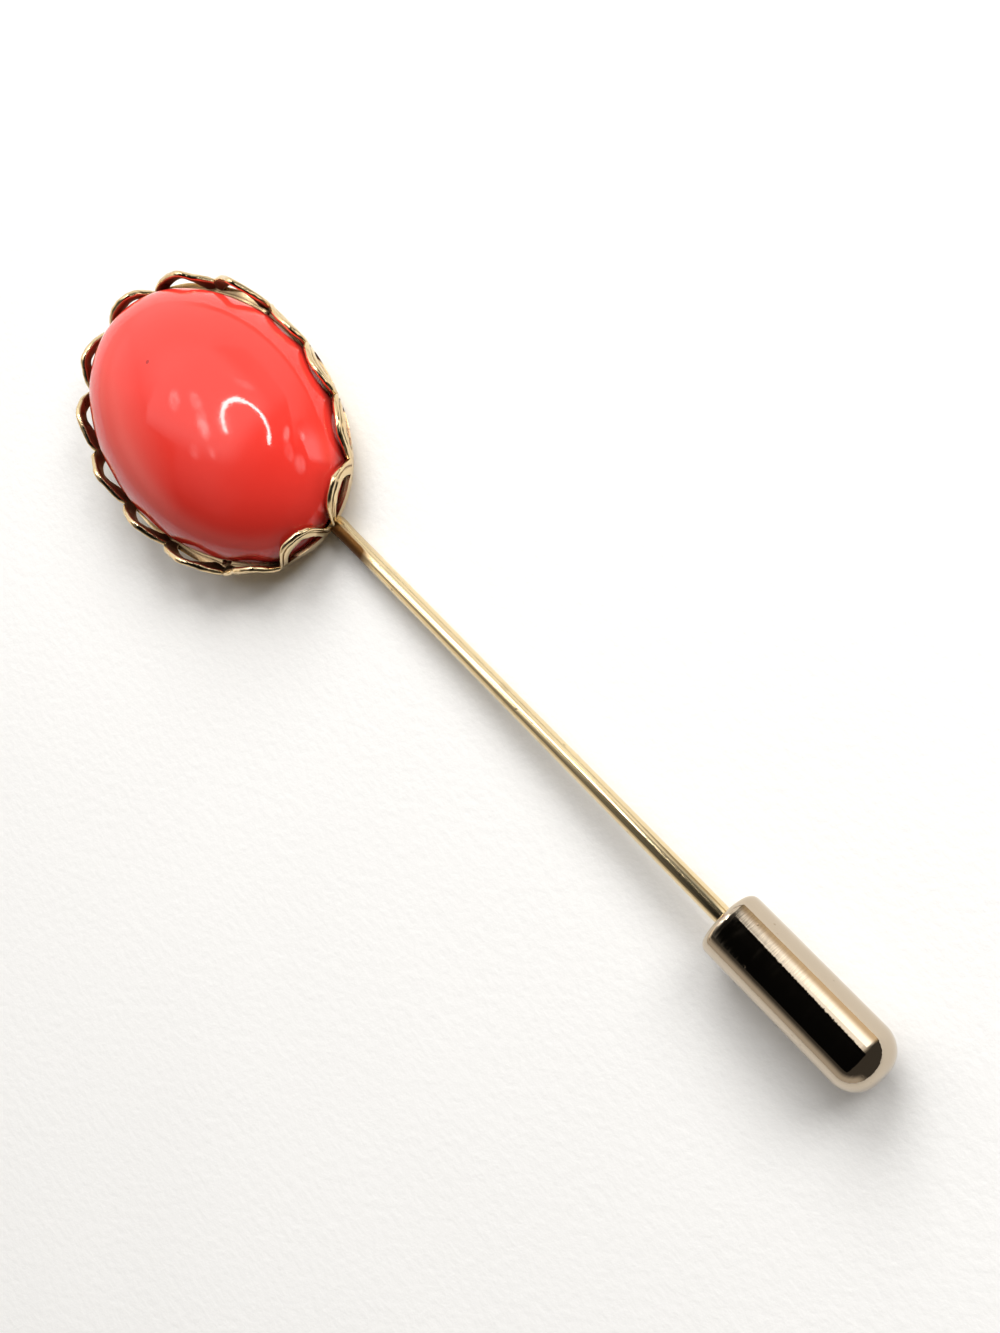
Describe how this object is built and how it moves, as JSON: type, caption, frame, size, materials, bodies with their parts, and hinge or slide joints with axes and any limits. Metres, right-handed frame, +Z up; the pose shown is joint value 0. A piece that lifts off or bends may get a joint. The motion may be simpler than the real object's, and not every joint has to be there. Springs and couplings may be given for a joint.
{
  "type": "stick pin",
  "caption": "Stick pin with an oval domed stone in a pierced, scalloped setting, and a bullet-shaped clutch that pulls off the point.",
  "frame": {"origin": "on the table under the middle of the whole pin, seen from above", "axes": "+X along the stick from the stone towards the clutch, +Z up, away from the table, through the stone's dome; the pin lies at rest on Z=0"},
  "size_m": [0.062, 0.015, 0.006],
  "materials": {
    "coral_stone": "glossy opaque coral red, faintly translucent at the thin edge",
    "gold_metal": "polished warm gold plate with brown tarnish in the recesses",
    "pale_gold_metal": "polished pale champagne-gold plate with fine rubbing marks"
  },
  "bodies": {
    "pin": {"cabochon": "coral_stone", "setting_and_stick": "gold_metal"},
    "clutch": {"clutch": "pale_gold_metal"}
  },
  "joints": [
    {"name": "clutch_slide", "type": "slide", "parent": "pin", "child": "clutch", "axis": [0.9992, 0, 0.0405], "range_m": [0, 0.02]}
  ]
}
